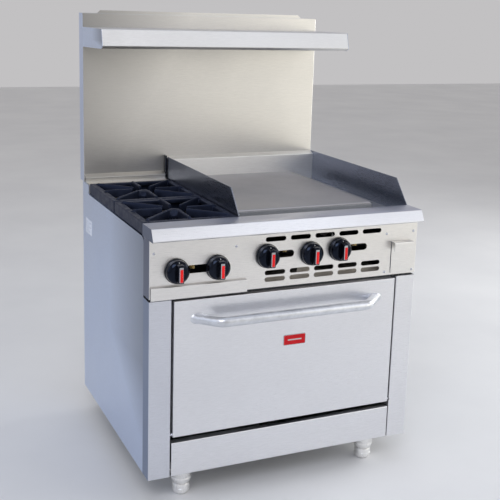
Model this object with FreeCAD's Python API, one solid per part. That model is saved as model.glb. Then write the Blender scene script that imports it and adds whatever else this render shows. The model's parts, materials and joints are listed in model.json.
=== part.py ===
"""Commercial gas range: two open burners and a griddle over an oven, with a riser and a high shelf.

Millimetres, +Z up, front facing -Y. Everything is drawn from a datum: X = 0 is the centre line, Y = 0 is the
front face of the stiles, and Z = 0 is 9 mm below the floor. It is then moved so that the origin is on the floor
at the centre of the footprint.
"""
import FreeCAD, Part
import math
import os

V = FreeCAD.Vector

# ---------------------------------------------------------------- driving dimensions
HALF = 457.0               # half the overall width
GAUGE = 1.5                # sheet steel
BEND = 1.5                 # inside radius of a fold
FLOOR = 9.0                # height of the floor above the datum
LEG_HEIGHT = 98.0          # datum to the underside of the body
BODY_BACK = 778.0          # outer face of the back panel
RETURN = 54.0              # side return of the stiles and the control panel
SIDE_TOP = 845.0           # top of the side panels, under the grates
TRIM_TOP = 879.0           # top of the left side behind the grates
TRIM_FRONT = 697.5
LEDGE_TOP = 883.5          # top of the front ledge
COOK_TOP = 884.5           # top of the griddle plate
GUARD_TOP = 961.5          # top of the splash guards
RISER_FRONT = 765.0
RISER_BACK = 815.0
RISER_TOP = 1473.5
TAB_TOP = 1484.0           # raised edge over the flue outlet
SHELF_TOP = 1426.0
SHELF_NOSE = 517.5         # front edge of the shelf's top
GUARD_LEFT = -150.6        # left face of the guard between the grates and the griddle
GUARD_GAUGE = 2.5
STILE_INNER = 387.0
STILE_TOP = 662.0
DOOR_HALF = 380.0
DOOR_BOTTOM = 226.5
DOOR_TOP = 657.5
DOOR_FACE = -3.0
KICK_TOP = 207.5
PANEL_BOTTOM = 670.0
PANEL_TOP = 846.0
HINGE_Y = 8.0
HINGE_Z = 233.0
HINGE_R = 5.0
RUNNING = 0.06             # radial clearance of a turning fit
HANDLE_R = 15.5
HANDLE_Y = -58.0
HANDLE_Z = 597.5
KNOBS = [("knob_burner_left", -374.0, 750.0), ("knob_burner_right", -245.5, 750.5),
         ("knob_griddle_left", -83.0, 771.0), ("knob_oven", 66.5, 767.0), ("knob_griddle_right", 166.0, 772.5)]
KNOB_R = 37.5
STEM_R = 4.0
GRATE_X = (-453.5, -153.5)
GRATE_SPANS = {"grate_front": (67.0, 378.5), "grate_rear": (382.5, 694.0)}
PLATE_X = (-148.0, 360.0)
PLATE_Y = (138.0, 739.5)
PLATE_THICK = 19.0
PIPE_R = 13.0
INLET_R = 13.335           # outside of the 3/4 inch threaded inlet
PIPE_Y = 76.0
PIPE_Z = 765.0
PIPE_TURN_X = 335.0
PIPE_END = 797.0
OVEN_HALF = 345.0
OVEN_FLOOR = 252.0
OVEN_CEILING = 640.0
OVEN_BACK = 700.0
FRAME_FACE = 25.0          # front face of the oven's mouth
RACK_LEVELS = (330.0, 420.0, 510.0)
RACK_LEVEL = 420.0
LEG_X = 330.0
LEG_Y = (58.0, 720.0)
FOOT_R = 27.5
STEM_FOOT_R = 9.0
FRONT = HANDLE_Y - HANDLE_R
CENTRE = (FRONT + RISER_BACK) / 2.0


# ---------------------------------------------------------------- helpers
def box(x, y, z):
    """A box between two limits on each axis."""
    return Part.makeBox(x[1] - x[0], y[1] - y[0], z[1] - z[0], V(x[0], y[0], z[0]))


def rod(start, end, radius):
    start, end = V(*start), V(*end)
    return Part.makeCylinder(radius, (end - start).Length, start, end - start)


def cone(start, end, radius_start, radius_end):
    start, end = V(*start), V(*end)
    return Part.makeCone(radius_start, radius_end, (end - start).Length, start, end - start)


def place(plane, a, b, third):
    if plane == "yz":
        return V(third, a, b)
    if plane == "xz":
        return V(a, third, b)
    return V(a, b, third)


def sweep_vector(plane, length):
    return {"yz": V(length, 0, 0), "xz": V(0, length, 0), "xy": V(0, 0, length)}[plane]


def corner(before, here, after, radius):
    """Tangent points and middle of a rounding at one vertex of a path, or the vertex alone."""
    d1 = (here - before).normalize()
    d2 = (after - here).normalize()
    turn = d1.getAngle(d2)
    if radius <= 0 or turn < 1e-6:
        return [here]
    reach = radius * math.tan(turn / 2)
    inward = (d2 - d1).normalize()
    centre = here + inward * (radius / math.cos(turn / 2))
    return [here - d1 * reach, centre - inward * radius, here + d2 * reach]


def joined(stops):
    """Edges through a list of stops: a stop of one point is a vertex, a stop of three is an arc."""
    edges = []
    last = None
    for stop in stops:
        if last is not None and (stop[0] - last).Length > 1e-6:
            edges.append(Part.LineSegment(last, stop[0]).toShape())
        if len(stop) == 3:
            edges.append(Part.Arc(*stop).toShape())
        last = stop[-1]
    return edges


def prism(points, plane, low, high, radii=None):
    """A closed outline swept along the third axis, with a radius for each corner where given."""
    corners = [place(plane, a, b, low) for a, b in points]
    count = len(corners)
    radii = radii or [0] * count
    stops = [corner(corners[i - 1], corners[i], corners[(i + 1) % count], radii[i]) for i in range(count)]
    edges = joined(stops + [[stops[0][0]]])
    return Part.Face(Part.Wire(edges)).extrude(sweep_vector(plane, high - low))


def sheet(path, plane, low, high, gauge=GAUGE, bend=BEND):
    """Folded sheet metal: a strip along a path, with its material on the left of the way the path runs."""
    line = [V(a, b, 0) for a, b in path]
    ways = [(b - a).normalize() for a, b in zip(line, line[1:])]
    lefts = [V(-w.y, w.x, 0) for w in ways]
    back = [line[0] + lefts[0] * gauge]
    outer_r, inner_r = [0], [0]
    for i in range(1, len(line) - 1):
        both = lefts[i - 1] + lefts[i]
        back.append(line[i] + both * (gauge / (1 + lefts[i - 1].dot(lefts[i]))))
        turns_left = ways[i - 1].cross(ways[i]).z > 0
        outer_r.append(bend + gauge if turns_left else bend)
        inner_r.append(bend if turns_left else bend + gauge)
    back.append(line[-1] + lefts[-1] * gauge)
    outline = [(p.x, p.y) for p in line] + [(p.x, p.y) for p in reversed(back)]
    radii = outer_r + [0] + [0] + inner_r[:0:-1] + [0]
    return prism(outline, plane, low, high, radii)


def obround(x, z, y):
    """A slot cutter with round ends, running along X."""
    low, high = x
    bottom, top = z
    radius = (top - bottom) / 2 - 0.01
    corners = [(low, bottom), (high, bottom), (high, top), (low, top)]
    return prism(corners, "xz", y[0], y[1], [radius] * 4)


def tube(points, radius, bend):
    """A round bar or pipe along a path with tangent arcs at its corners."""
    line = [V(*p) for p in points]
    stops = [[line[0]]]
    for before, here, after in zip(line, line[1:], line[2:]):
        stops.append(corner(before, here, after, bend))
    stops.append([line[-1]])
    spine = Part.Wire(joined(stops))
    start = Part.Wire(Part.makeCircle(radius, line[0], line[1] - line[0]))
    return spine.makePipeShell([start], True, True)


def frame_bar(x, y, z, radius, bend):
    """A round bar bent into a level rectangle with rounded corners."""
    middle = (x[0] + x[1]) / 2
    half = [(middle, y[0], z), (x[1], y[0], z), (x[1], y[1], z), (middle, y[1], z)]
    right = tube(half, radius, bend)
    left = right.mirror(V(middle, 0, 0), V(1, 0, 0))
    return right.fuse(left)


def fuse(*shapes):
    first, rest = shapes[0], list(shapes[1:])
    return first.fuse(rest).removeSplitter() if rest else first


def mirrored(shape):
    return shape.mirror(V(0, 0, 0), V(1, 0, 0))


def save(name, *solids):
    """Moves the solids to the final origin and writes them as one part file."""
    moved = []
    for solid in solids:
        for piece in solid.Solids:
            copy = piece.copy()
            copy.translate(V(0, -CENTRE, -FLOOR))
            moved.append(copy)
    shape = moved[0] if len(moved) == 1 else Part.makeCompound(moved)
    shape.exportStep("parts/" + name + ".step")


# ---------------------------------------------------------------- cabinet
def side_panel():
    """Left side: a flat sheet with folded edges."""
    corners = [(RETURN, LEG_HEIGHT), (BODY_BACK, LEG_HEIGHT), (BODY_BACK, SIDE_TOP), (RETURN, SIDE_TOP)]
    web = prism(corners, "yz", -HALF, -HALF + GAUGE, [0, 0, 0, 20])
    edge = (-HALF, -HALF + 16)
    top = box(edge, (RETURN + 22, BODY_BACK), (SIDE_TOP - GAUGE, SIDE_TOP))
    bottom = box(edge, (RETURN, BODY_BACK), (LEG_HEIGHT, LEG_HEIGHT + GAUGE))
    back = box(edge, (BODY_BACK - GAUGE, BODY_BACK), (LEG_HEIGHT, SIDE_TOP))
    front = box(edge, (RETURN, RETURN + GAUGE), (LEG_HEIGHT, STILE_TOP))
    return fuse(web, top, bottom, back, front)


def side_trim():
    """Raised rear part of the left side, beside the rear rail."""
    corners = [(BODY_BACK, SIDE_TOP), (BODY_BACK, TRIM_TOP), (TRIM_FRONT, TRIM_TOP), (TRIM_FRONT, SIDE_TOP)]
    web = prism(corners, "yz", -HALF, -HALF + GAUGE, [0, 2, 2, 0])
    cap = box((-HALF, -HALF + 16), (TRIM_FRONT + 26, RISER_FRONT - 0.5), (TRIM_TOP - GAUGE, TRIM_TOP))
    return fuse(web, cap)


def back_panel():
    """Sheet across the back with the gas pipe's hole and two rows of vents."""
    inner = HALF - 17
    skin = box((-inner, inner), (BODY_BACK - GAUGE, BODY_BACK), (LEG_HEIGHT, 868.0))
    cuts = [rod((PIPE_TURN_X, BODY_BACK - 10, PIPE_Z), (PIPE_TURN_X, BODY_BACK + 10, PIPE_Z), PIPE_R + 3)]
    vent = 70.0
    for row in (150.0, 175.0):
        for step in range(6):
            low = -300.0 + step * 106.0
            cuts.append(obround((low, low + vent), (row, row + 10), (BODY_BACK - 10, BODY_BACK + 10)))
    return skin.cut(cuts)


def base_pan():
    """Floor of the body: a shallow upturned tray that the legs bolt to."""
    wall = 22.0
    half, front, back = HALF - 17, 48.0, BODY_BACK - 2
    floor = box((-half, half), (front, back), (LEG_HEIGHT, LEG_HEIGHT + 2))
    front_wall = box((-half, half), (front, front + 2), (LEG_HEIGHT, LEG_HEIGHT + wall))
    back_wall = box((-half, half), (back - 2, back), (LEG_HEIGHT, LEG_HEIGHT + wall))
    pan = fuse(floor, front_wall, back_wall)
    intakes = [box((low, low + 80), (y, y + 12), (LEG_HEIGHT - 1, LEG_HEIGHT + 3))
               for low in (-140.0, -40.0, 60.0) for y in (300, 400)]
    return pan.cut(intakes)


def stile():
    """Left front upright: a folded channel with a plate set down inside its top."""
    path = [(-HALF, RETURN), (-HALF, 0), (-STILE_INNER, 0), (-STILE_INNER, 46)]
    channel = sheet(path, "xy", LEG_HEIGHT, STILE_TOP)
    cap_top = STILE_TOP - 12
    cap = box((-HALF + 1, -STILE_INNER - 1), (1, 46), (cap_top - GAUGE, cap_top))
    hole = rod((-STILE_INNER - 5, HINGE_Y, HINGE_Z), (-STILE_INNER + 5, HINGE_Y, HINGE_Z), HINGE_R + 3)
    return fuse(channel, cap).cut(hole)


def hinge_bracket():
    """Bearing plate for the door's pin, inside the left stile."""
    plate = box((-STILE_INNER - GAUGE - 4, -STILE_INNER - GAUGE), (3.5, 40), (205, 262))
    bore = rod((-STILE_INNER - 8, HINGE_Y, HINGE_Z), (-STILE_INNER + 2, HINGE_Y, HINGE_Z), HINGE_R + RUNNING)
    return plate.cut(bore)


def kick_panel():
    path = [(26, KICK_TOP - 12), (26, KICK_TOP), (0, KICK_TOP), (0, LEG_HEIGHT), (22, LEG_HEIGHT)]
    return sheet(path, "yz", -STILE_INNER + 4, STILE_INNER - 4)


def control_panel():
    """One folded front with the valve windows, cooling slots, and cut-outs for the tray and the grease drawer."""
    path = [(-HALF, RETURN), (-HALF, 0), (HALF, 0), (HALF, RETURN)]
    face = sheet(path, "xy", PANEL_BOTTOM, PANEL_TOP)
    lip = box((-HALF + 3, HALF - 3), (1, 18), (PANEL_BOTTOM, PANEL_BOTTOM + GAUGE))
    through = (-5.0, 25.0)
    cuts = [rod((x, through[0], z), (x, through[1], z), 9.0) for name, x, z in KNOBS]
    cuts.append(obround((-372, -262), (738.5, 763.5), through))
    cuts.append(obround((-76, 8.5), (761.5, 783.5), through))
    cuts.append(obround((180, 268), (762.0, 784.0), through))
    for row in (814.4, 709.4, 688.0):
        for step in range(5):
            low = -89.0 + step * 84.7
            cuts.append(obround((low, low + 69), (row, row + 15), through))
    cuts.append(box((-450, -156), through, (673.5, 700)))
    cuts.append(box((359, 430), through, (686, 778)))
    cuts += [rod((x, through[0], z), (x, through[1], z), 2.1) for x, z in SCREWS]
    return fuse(face, lip).cut(cuts)


SCREWS = [(-443, 807), (-185, 809), (340.5, 808), (339, 681.5), (441.5, 811), (443, 681.5)]


def panel_screws():
    """Pan-head screws of the control panel."""
    heads = []
    for x, z in SCREWS:
        head = cone((x, 0, z), (x, -1.9, z), 4.2, 2.6)
        shank = rod((x, 0, z), (x, 9, z), 2.0)
        heads.append(fuse(head, shank))
    return heads


def front_ledge():
    """Sloping nose over the control panel, closed at both ends."""
    path = [(66, 850), (66, LEDGE_TOP), (-16.8, LEDGE_TOP), (-35.3, 849.5), (-30.5, 846.2), (24, 846.2)]
    skin = sheet(path, "yz", -HALF + 2.5, HALF - 2.5)
    corners = [(66, 846.2), (66, LEDGE_TOP), (-16.8, LEDGE_TOP), (-35.3, 849.5), (-30.5, 846.2)]
    caps = [prism(corners, "yz", low, low + 2, [0, 2, 3, 3, 0]) for low in (-HALF + 0.5, HALF - 2.5)]
    return fuse(skin, *caps)


def bay_divider():
    """Wall between the open burners and the griddle, and the angles round the top that carry the cooking parts."""
    under = (SIDE_TOP - GAUGE, SIDE_TOP)
    web = box((-151.5, -150), (57, 762), (669, SIDE_TOP))
    notch = fuse(box((-160, -140), (50, PIPE_Y), (PIPE_Z - PIPE_R - 3, PIPE_Z + PIPE_R + 3)),
                 rod((-160, PIPE_Y, PIPE_Z), (-140, PIPE_Y, PIPE_Z), PIPE_R + 3))
    top = box((-165, -136), (57, 762), under)
    foot = box((-151.5, -130), (57, 762), (669, 669 + GAUGE))
    front = box((-440, 440), (55.8, 80), under)
    front_wall = box((-440, 440), (55.8, 57.3), (822, SIDE_TOP))
    right = box((343, 372), (57, 762), under)
    right_wall = box((343, 344.5), (57, 762), (830, SIDE_TOP))
    back = box((-440, 440), (745, 762), under)
    return fuse(web, top, foot, front, front_wall, right, right_wall, back).cut(notch)


def bay_rails():
    """Bars under the burners, the runners of the drip tray and the grease drawer, and the left bay's baffle."""
    rails = []
    for low in (140, 450):
        rails.append(box((-455, -151.5), (low, low + 24), (775, 778.5)))
        rails.append(box((-150, 455), (low, low + 24), (792.4, 795.9)))
    rails.append(box((-455.5, -441), (60, 640), (672.5, 674)))
    rails.append(box((-164, -151.5), (60, 640), (672.5, 674)))
    rails.append(box((-455, -151.5), (93, 94.5), (700, 772)))
    for wall, floor in (((350, 351.5), (350, 375)), ((439.5, 441), (416, 441))):
        rails.append(fuse(box(floor, (60, 480), (686, 687.5)), box(wall, (60, 480), (686, 792.4))))
    return rails


def rear_rail():
    """Stepped trim behind the grates."""
    path = [(716, 846.6), (697.5, 846.6), (697.5, 880.5), (743.5, 880.5), (743.5, 896), (764, 905.6)]
    return sheet(path, "yz", -HALF + 2, GUARD_LEFT - 6.4)


# ---------------------------------------------------------------- griddle
def griddle_plate():
    """Thick steel plate with a rounded front edge."""
    low, high = PLATE_Y
    bottom = COOK_TOP - PLATE_THICK
    outline = [(low, bottom), (high, bottom), (high, COOK_TOP), (low, COOK_TOP)]
    plate = prism(outline, "yz", PLATE_X[0], PLATE_X[1], [2, 0, 0, 5])
    right = [e for e in plate.Edges if e.BoundBox.XMin > PLATE_X[1] - 0.1 and e.BoundBox.ZMin > COOK_TOP - 0.1]
    return plate.makeFillet(2.0, right)


def griddle_frame():
    """Open frame that carries the plate."""
    bottom, top = SIDE_TOP + 0.5, COOK_TOP - PLATE_THICK
    outer = box((PLATE_X[0] + 1, PLATE_X[1] - 3), (PLATE_Y[0] + 4, PLATE_Y[1] - 2), (bottom, top))
    inner = box((PLATE_X[0] + 9, PLATE_X[1] - 11), (PLATE_Y[0] + 12, PLATE_Y[1] - 10), (bottom - 1, top + 1))
    return outer.cut(inner)


def guard(low, back, heel):
    """Splash guard: a plate with a sloping front end and a heel that can run on under the riser."""
    corners = [(68.5, SIDE_TOP + 0.2), (heel, SIDE_TOP + 0.2), (heel, TRIM_TOP), (back, TRIM_TOP), (back, GUARD_TOP),
               (137.7, GUARD_TOP), (68.5, LEDGE_TOP)]
    if heel == back:
        corners = corners[:2] + corners[4:]
    return prism(corners, "yz", low, low + GUARD_GAUGE)


def splash_back():
    path = [(764, 961.2), (740, 951.5), (740, 848)]
    return sheet(path, "yz", GUARD_LEFT + GUARD_GAUGE, HALF - GUARD_GAUGE)


def grease_gutter():
    """Trough along the front of the plate and down its right side, with a spout over the drawer."""
    floor_z = 850.0
    right = HALF - GUARD_GAUGE
    left = GUARD_LEFT + GUARD_GAUGE
    front = (68.0, PLATE_Y[0] - 0.5)
    side = (PLATE_X[1] + 0.5, right)
    floor = fuse(box((left, right), front, (floor_z, floor_z + GAUGE)),
                 box(side, (front[0], PLATE_Y[1]), (floor_z, floor_z + GAUGE)))
    wall_z = (floor_z, COOK_TOP - 6)
    walls = [box((left, right), (front[0], front[0] + GAUGE), (floor_z, LEDGE_TOP - 3)),
             box((left, side[0] + GAUGE), (front[1] - GAUGE, front[1]), wall_z),
             box((side[0], side[0] + GAUGE), (front[1] - GAUGE, PLATE_Y[1]), wall_z)]
    spout = rod((395, 102, 800), (395, 102, floor_z + GAUGE), 16)
    bore = rod((395, 102, 790), (395, 102, floor_z + 5), 14)
    return fuse(floor, *walls, spout).cut(bore)


def griddle_burner(left):
    """Looped tube burner under the plate."""
    z = 812.0
    pitch = 100.0
    loop = tube([(left, 104, z), (left, 640, z), (left + pitch, 640, z), (left + pitch, 130, z)], 16.0, 40.0)
    mixer = cone((left, 98, z), (left, 112, z), 20.0, 16.0)
    return fuse(loop, mixer)


# ---------------------------------------------------------------- riser and shelf
def riser_front():
    """Front skin of the riser with side returns, a folded top and the raised edge over the flue."""
    path = [(-HALF, RISER_BACK), (-HALF, RISER_FRONT), (HALF, RISER_FRONT), (HALF, RISER_BACK)]
    skin = sheet(path, "xy", 880.0, RISER_TOP - 4)
    apron = box((-HALF + 2, HALF - 3), (RISER_FRONT, RISER_FRONT + GAUGE), (846, 881))
    fold_path = [(RISER_FRONT + 12, RISER_TOP), (RISER_FRONT, RISER_TOP), (RISER_FRONT, RISER_TOP - 6)]
    fold = sheet(fold_path, "yz", -HALF, HALF, bend=0.5)
    sides = [box((low, low + GAUGE), (RISER_FRONT + 3, RISER_BACK), (RISER_TOP - 6, RISER_TOP))
             for low in (-HALF, HALF - GAUGE)]
    corners = [(-404, RISER_TOP - 2), (393, RISER_TOP - 2), (393, RISER_TOP), (381.5, TAB_TOP), (-392.5, TAB_TOP),
               (-404, RISER_TOP)]
    tab = prism(corners, "xz", RISER_FRONT + 6, RISER_FRONT + 6 + GAUGE)
    return fuse(skin, apron, fold, *sides, tab)


def riser_back():
    """Rear skin of the riser with an inward lip at the bottom and a row of flue slots near the top."""
    inner = HALF - GAUGE
    skin = box((-inner, inner), (RISER_BACK - GAUGE, RISER_BACK), (880, RISER_TOP))
    lip = box((-inner, inner), (BODY_BACK + 0.5, RISER_BACK), (880, 880 + GAUGE))
    cuts = []
    for step in range(7):
        low = -385.0 + step * 112.0
        cuts.append(obround((low, low + 90), (1410, 1424), (RISER_BACK - 10, RISER_BACK + 10)))
    return fuse(skin, lip).cut(cuts)


def high_shelf():
    path = [(RISER_FRONT, 1396), (RISER_FRONT, SHELF_TOP), (SHELF_NOSE, SHELF_TOP), (502.3, 1372),
            (515.3, 1362.5), (522, 1368)]
    return sheet(path, "yz", -HALF + GAUGE, HALF - GAUGE)


def shelf_end():
    """Left gusset that closes the shelf and carries it on the riser."""
    corners = [(RISER_FRONT, 1358), (RISER_FRONT, SHELF_TOP), (SHELF_NOSE, SHELF_TOP), (502.3, 1372), (515.3, 1362.5)]
    return prism(corners, "yz", -HALF, -HALF + GAUGE, [0, 0, 3, 3, 2])


# ---------------------------------------------------------------- legs
def leg(x, y):
    """Leg with a bolting flange and a bore for the levelling foot."""
    flange = rod((x, y, LEG_HEIGHT - 4), (x, y, LEG_HEIGHT), 42)
    barrel = rod((x, y, 62), (x, y, LEG_HEIGHT - 4), 33)
    taper = cone((x, y, 48), (x, y, 62), 28, 33)
    bore = rod((x, y, 47), (x, y, 92), STEM_FOOT_R + RUNNING)
    return fuse(flange, barrel, taper).cut(bore)


def foot(x, y):
    """Levelling foot with its stem."""
    pad = cone((x, y, FLOOR), (x, y, 19), 20, FOOT_R)
    body = rod((x, y, 19), (x, y, 46), FOOT_R)
    neck = rod((x, y, 46), (x, y, 47.6), FOOT_R - 3)
    stem = rod((x, y, 47.6), (x, y, 88), STEM_FOOT_R)
    return fuse(pad, body, neck, stem)


# ---------------------------------------------------------------- gas train
def gas_pipe():
    """Manifold across the front, capped at its left end, that turns and runs to the back of the range."""
    start = (-425, PIPE_Y, PIPE_Z)
    corner_point = (PIPE_TURN_X, PIPE_Y, PIPE_Z)
    end = (PIPE_TURN_X, BODY_BACK + 1, PIPE_Z)
    cap = rod((-433, PIPE_Y, PIPE_Z), (-425, PIPE_Y, PIPE_Z), PIPE_R + 3)
    inlet = rod(end, (PIPE_TURN_X, PIPE_END, PIPE_Z), INLET_R)
    return fuse(tube([start, corner_point, end], PIPE_R, 38.0), cap, inlet)


def valve(x, z, pipe):
    """Brass valve body in front of the manifold, bored for its stem."""
    body = rod((x, 24, z), (x, 56, z), 12)
    collar = rod((x, 18, z), (x, 24, z), 8)
    neck = rod((x, 50, z), (x, PIPE_Y, z), 7)
    bore = rod((x, 10, z), (x, 40, z), STEM_R + RUNNING)
    return fuse(body, collar, neck).cut([bore, pipe])


def orifice(x, z, y_end, z_end, x_end):
    """Small supply tube from a valve's top back over the manifold to a burner's mouth."""
    return tube([(x, 46, z + 12), (x, 46, z_end), (x_end, y_end, z_end)], 4.0, 9.0)


def pilot_valve(x, z, pipe):
    """Brass needle valve with a slotted screw, seen through a window of the panel."""
    body = box((x - 6, x + 6), (38, 58), (z - 6, z + 6))
    screw = rod((x, 28, z), (x, 38, z), 4)
    slot = box((x - 5, x + 5), (27, 29.5), (z - 0.8, z + 0.8))
    neck = rod((x, 58, z), (x, PIPE_Y, z), 4)
    return fuse(body, screw, neck).cut([slot, pipe])


def thermostat(x, z, pipe):
    """Oven thermostat: a die-cast body bored for the knob's stem."""
    body = box((x - 28, x + 28), (20, 60), (z - 26, z + 26))
    neck = rod((x - 15, 60, z), (x - 15, PIPE_Y, z), 7)
    outlet = rod((x + 15, 42, z - 38), (x + 15, 42, z - 26), 8)
    bore = rod((x, 10, z), (x, 40, z), STEM_R + RUNNING)
    return fuse(body, neck, outlet).cut([bore, pipe])


def oven_gas_tube(x, z):
    """Supply from the thermostat down the right side to the oven burner."""
    down, across = 435.0, 64.0
    return tube([(x + 15, 42, z - 38), (x + 15, 42, 702), (x + 15, across, 679), (down, across, 679),
                 (down, across, 150), (0, across, 150), (0, 92, 150)], 4.8, 10.0)


def burner_casting(x, y, mouth_x):
    """Cast burner body: a mixing tube from the front that turns up into a bowl."""
    z = 795.0
    barrel = rod((mouth_x, 108, z), (x, y, z), 16.5)
    bell = cone((mouth_x, 98, z), (mouth_x, 112, z), 21, 17)
    neck = rod((x, y, z - 16), (x, y, 826), 21)
    bowl = cone((x, y, 826), (x, y, 845), 21, 34)
    rim = rod((x, y, 845), (x, y, 850), 34)
    return fuse(barrel, bell, neck, bowl, rim)


def burner_head(x, y):
    """Domed cap with flame ports around its edge."""
    base = rod((x, y, 850), (x, y, 871), 33)
    dome = cone((x, y, 871), (x, y, 881), 33, 25)
    crown = cone((x, y, 881), (x, y, 884), 25, 12)
    cuts = []
    for step in range(24):
        angle = math.radians(15 * step)
        out = V(math.cos(angle), math.sin(angle), 0)
        start = V(x, y, 859) + out * 27
        cuts.append(Part.makeCylinder(1.6, 12, start, out))
    return fuse(base, dome, crown).cut(cuts)


def oven_burner():
    """Straight tube burner under the oven with a mixer at the front and a mounting foot at the back."""
    z = 150.0
    body = rod((0, 118, z), (0, 600, z), 19)
    mixer = cone((0, 96, z), (0, 118, z), 24, 19)
    back_foot = box((-16, 16), (560, 566), (LEG_HEIGHT + 2, z))
    front_foot = box((-16, 16), (140, 146), (LEG_HEIGHT + 2, z))
    return fuse(body, mixer, back_foot, front_foot)


# ---------------------------------------------------------------- oven
def oven_liner():
    """Oven box, open at the front, with a flange round its mouth and heat slots in its bottom."""
    wall = 2.0
    outer = box((-OVEN_HALF - wall, OVEN_HALF + wall), (FRAME_FACE, OVEN_BACK + wall),
                (OVEN_FLOOR - wall, OVEN_CEILING + wall))
    inner = box((-OVEN_HALF, OVEN_HALF), (FRAME_FACE - 1, OVEN_BACK), (OVEN_FLOOR, OVEN_CEILING))
    flange = box((-STILE_INNER + 1, STILE_INNER - 1), (FRAME_FACE, FRAME_FACE + wall), (OVEN_FLOOR - 34, 666))
    slots = [box((side - 20, side + 20), (low, low + 90), (OVEN_FLOOR - 5, OVEN_FLOOR + 1))
             for side in (-300, 300) for low in (120, 240, 360, 480, 600 - 30)]
    return fuse(outer, flange).cut([inner] + slots)


def oven_insulation():
    """Mineral wool over the top, sides and back of the oven box."""
    outer = box((-OVEN_HALF - 38, OVEN_HALF + 38), (FRAME_FACE + 3, OVEN_BACK + 40), (OVEN_FLOOR - 2, 665))
    inner = box((-OVEN_HALF - 2.2, OVEN_HALF + 2.2), (FRAME_FACE + 2, OVEN_BACK + 2.2),
                (OVEN_FLOOR - 5, OVEN_CEILING + 2.2))
    return outer.cut(inner)


def oven_jacket():
    """Galvanised cover over the top and sides of the insulation, with a flange up behind the cooling slots."""
    side, top, low, front = OVEN_HALF + 38.2, 665.2, 250.0, FRAME_FACE + 3
    path = [(-side, low), (-side, top), (side, top), (side, low)]
    cover = sheet(path, "xz", front, OVEN_BACK + 41, gauge=1.0, bend=0.5)
    flange = box((-140, 362.5), (front, front + 1), (top, 697))
    tab = box((35, 80), (front, front + 1), (696, 722))
    return fuse(cover, flange, tab)


def oven_deck():
    """Removable oven floor, raised on two folded sides."""
    top = OVEN_FLOOR + 14
    path = [(-OVEN_HALF + 14, OVEN_FLOOR + 0.2), (-OVEN_HALF + 14, top), (OVEN_HALF - 14, top),
            (OVEN_HALF - 14, OVEN_FLOOR + 0.2)]
    deck = sheet([(a, b) for a, b in reversed(path)], "xz", 44, OVEN_BACK - 4)
    return deck


def rack_guide():
    """Left guide: an upright sheet with a pair of ledges at each rack position."""
    x = -OVEN_HALF
    upright = box((x, x + GAUGE), (60, OVEN_BACK - 20), (RACK_LEVELS[0] - 20, RACK_LEVELS[-1] + 40))
    ledges = []
    for level in RACK_LEVELS:
        ledges.append(box((x, x + 14), (60, OVEN_BACK - 20), (level - GAUGE, level)))
        ledges.append(box((x, x + 14), (60, OVEN_BACK - 20), (level + 16, level + 16 + GAUGE)))
    return fuse(upright, *ledges)


def oven_rack():
    """Wire rack: a rim of heavy wire with lighter wires across it."""
    half, front, back = OVEN_HALF - 6, 90.0, 682.0
    z = RACK_LEVEL + 4.5
    rim = 4.0
    wire = 2.5
    parts = [frame_bar((-half, half), (front, back), z, rim, 14.0)]
    for y in (front + 200, back - 200):
        parts.append(rod((-half, y, z), (half, y, z), rim))
    count = 19
    for step in range(count):
        x = -half + (step + 1) * 2 * half / (count + 1)
        parts.append(rod((x, front, z + 2), (x, back, z + 2), wire))
    return parts[0].fuse(parts[1:]).removeSplitter()


# ---------------------------------------------------------------- door
def door_outer():
    """Formed outer skin of the door with returns on all four sides."""
    depth = 22.0
    skin = box((-DOOR_HALF, DOOR_HALF), (DOOR_FACE, depth), (DOOR_BOTTOM, DOOR_TOP))
    front_edges = [e for e in skin.Edges if e.BoundBox.YMax < DOOR_FACE + 0.1]
    corner_edges = [e for e in skin.Edges if e.BoundBox.YLength > 20]
    skin = skin.makeFillet(2.5, front_edges + corner_edges)
    hollow = box((-DOOR_HALF + GAUGE, DOOR_HALF - GAUGE), (DOOR_FACE + GAUGE, depth + 1),
                 (DOOR_BOTTOM + GAUGE, DOOR_TOP - GAUGE))
    pins = [rod((x, HINGE_Y, HINGE_Z), (x + 4, HINGE_Y, HINGE_Z), HINGE_R) for x in (-DOOR_HALF - 1, DOOR_HALF - 3)]
    return skin.cut([hollow] + pins)


def door_inner():
    """Inner skin: a plate with a raised plug that fills the oven's mouth."""
    edge = GAUGE + 0.1
    plate = box((-DOOR_HALF + edge, DOOR_HALF - edge), (20.5, 22), (DOOR_BOTTOM + edge, DOOR_TOP - edge))
    plug_x, plug_z = (-OVEN_HALF + 5, OVEN_HALF - 5), (OVEN_FLOOR + 5, OVEN_CEILING - 5)
    plug = box(plug_x, (20.5, 38), plug_z)
    plug = plug.makeFillet(5.0, [e for e in plug.Edges if e.BoundBox.YMin > 37.9 or e.BoundBox.YLength > 15])
    hollow = box((plug_x[0] + GAUGE, plug_x[1] - GAUGE), (20, 38 - GAUGE), (plug_z[0] + GAUGE, plug_z[1] - GAUGE))
    return fuse(plate, plug).cut(hollow)


def door_insulation():
    low, high = DOOR_BOTTOM + 18, DOOR_TOP - 3
    return box((-DOOR_HALF + 24, DOOR_HALF - 24), (DOOR_FACE + GAUGE + 0.2, 20.3), (low, high))


def door_handle():
    """Round tube handle with its ends bent back to the door."""
    reach, end, bend = 249.5, 311.6, 34.0
    path = [(-end, 3, HANDLE_Z), (-reach, HANDLE_Y, HANDLE_Z), (reach, HANDLE_Y, HANDLE_Z), (end, 3, HANDLE_Z)]
    bar = tube(path, HANDLE_R, bend).cut(tube(path, HANDLE_R - 1.6, bend))
    behind = box((-HALF, HALF), (DOOR_FACE, 80), (HANDLE_Z - 60, HANDLE_Z + 60))
    return bar.cut(behind)


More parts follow.
